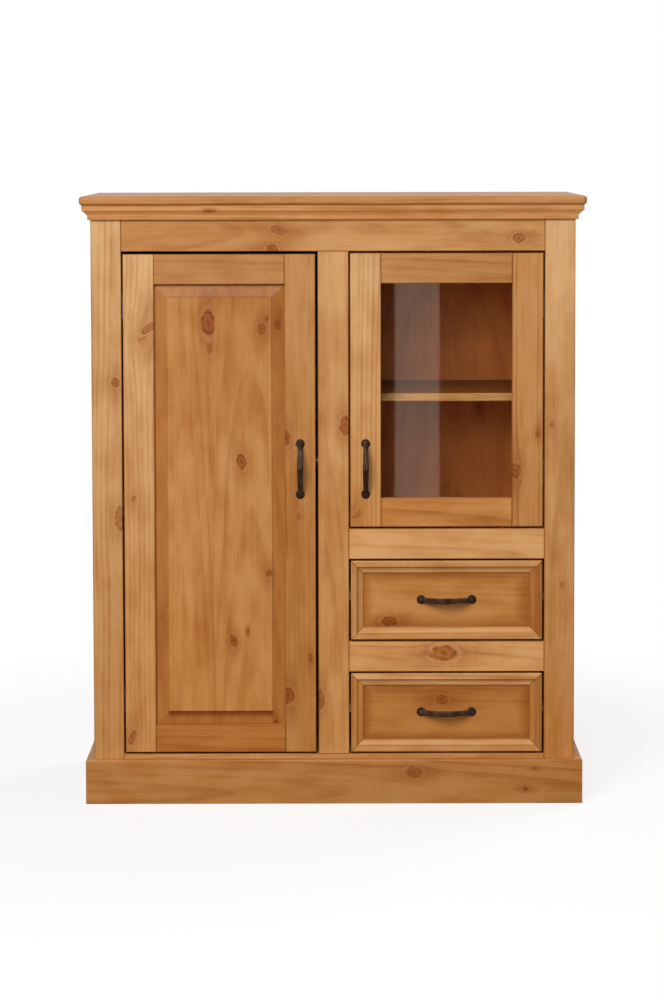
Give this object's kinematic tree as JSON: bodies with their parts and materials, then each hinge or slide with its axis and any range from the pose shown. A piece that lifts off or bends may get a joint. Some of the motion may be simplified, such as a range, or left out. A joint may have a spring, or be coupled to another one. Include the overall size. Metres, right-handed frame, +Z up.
{
  "type": "highboard",
  "caption": "Pine highboard on a plinth, with a panelled door beside a glass door above drawers, bow handles, a cornice and shelves.",
  "frame": {"origin": "on the floor, in the middle of the outline's width and of its depth with the handles", "axes": "+X to the right seen from the front, +Y from the front to the back, +Z up"},
  "size_m": [0.95, 0.4054, 1.15],
  "materials": {
    "lacquered_pine": "honey-coloured satin lacquer on knotty pine",
    "plain_pine": "planed, unlacquered pine",
    "plywood": "stained thin plywood",
    "antique_bronze": "dark antique bronze, satin",
    "plated_steel": "zinc plated",
    "clear_glass": "clear float glass"
  },
  "bodies": {
    "carcass": {"carcass_screws": "plated_steel", "catch_strike": "plated_steel", "centre_stile": "lacquered_pine", "cornice_front": "lacquered_pine", "cornice_left": "lacquered_pine", "cornice_right": "lacquered_pine", "cupboard_shelf": "lacquered_pine", "display_floor": "lacquered_pine", "display_shelf": "lacquered_pine", "drawer_rail": "lacquered_pine", "floor_board": "lacquered_pine", "glass_door_hinge_arms": "plated_steel", "left_back_panel": "plywood", "left_door_hinge_arms": "plated_steel", "left_front_post": "lacquered_pine", "left_side_panel": "lacquered_pine", "lower_drawer_runners": "plain_pine", "middle_rail": "lacquered_pine", "partition": "lacquered_pine", "plinth_front": "lacquered_pine", "plinth_left": "lacquered_pine", "plinth_right": "lacquered_pine", "rear_bearer": "plain_pine", "right_back_panel": "plywood", "right_front_post": "lacquered_pine", "right_side_panel": "lacquered_pine", "shelf_pins": "plated_steel", "top_board": "lacquered_pine", "top_rail": "lacquered_pine", "upper_drawer_runners": "plain_pine"},
    "left_door": {"left_door_bottom_rail": "lacquered_pine", "left_door_catch": "plated_steel", "left_door_handle": "antique_bronze", "left_door_hinge_cups": "plated_steel", "left_door_hinge_stile": "lacquered_pine", "left_door_lock_stile": "lacquered_pine", "left_door_panel": "lacquered_pine", "left_door_screws": "plated_steel", "left_door_top_rail": "lacquered_pine"},
    "glass_door": {"glass_door_bottom_rail": "lacquered_pine", "glass_door_handle": "antique_bronze", "glass_door_hinge_cups": "plated_steel", "glass_door_hinge_stile": "lacquered_pine", "glass_door_lock_stile": "lacquered_pine", "glass_door_screws": "plated_steel", "glass_door_top_rail": "lacquered_pine", "glass_pane": "clear_glass", "glazing_beads": "lacquered_pine"},
    "upper_drawer": {"upper_drawer_back": "plain_pine", "upper_drawer_bottom": "plywood", "upper_drawer_front": "lacquered_pine", "upper_drawer_handle": "antique_bronze", "upper_drawer_mouldings": "lacquered_pine", "upper_drawer_screws": "plated_steel", "upper_drawer_sides": "plain_pine"},
    "lower_drawer": {"lower_drawer_back": "plain_pine", "lower_drawer_bottom": "plywood", "lower_drawer_front": "lacquered_pine", "lower_drawer_handle": "antique_bronze", "lower_drawer_mouldings": "lacquered_pine", "lower_drawer_screws": "plated_steel", "lower_drawer_sides": "plain_pine"}
  },
  "joints": [
    {"name": "left_door_hinge", "type": "hinge", "parent": "carcass", "child": "left_door", "pos_m": [-0.373, -0.16425, 0.5686], "axis": [0, 0, -1], "range_deg": [0, 100]},
    {"name": "glass_door_hinge", "type": "hinge", "parent": "carcass", "child": "glass_door", "pos_m": [0.373, -0.16425, 0.78425], "axis": [0, 0, 1], "range_deg": [0, 100]},
    {"name": "upper_drawer_slide", "type": "slide", "parent": "carcass", "child": "upper_drawer", "axis": [0, -1, 0], "range_m": [0, 0.25]},
    {"name": "lower_drawer_slide", "type": "slide", "parent": "carcass", "child": "lower_drawer", "axis": [0, -1, 0], "range_m": [0, 0.25]}
  ]
}
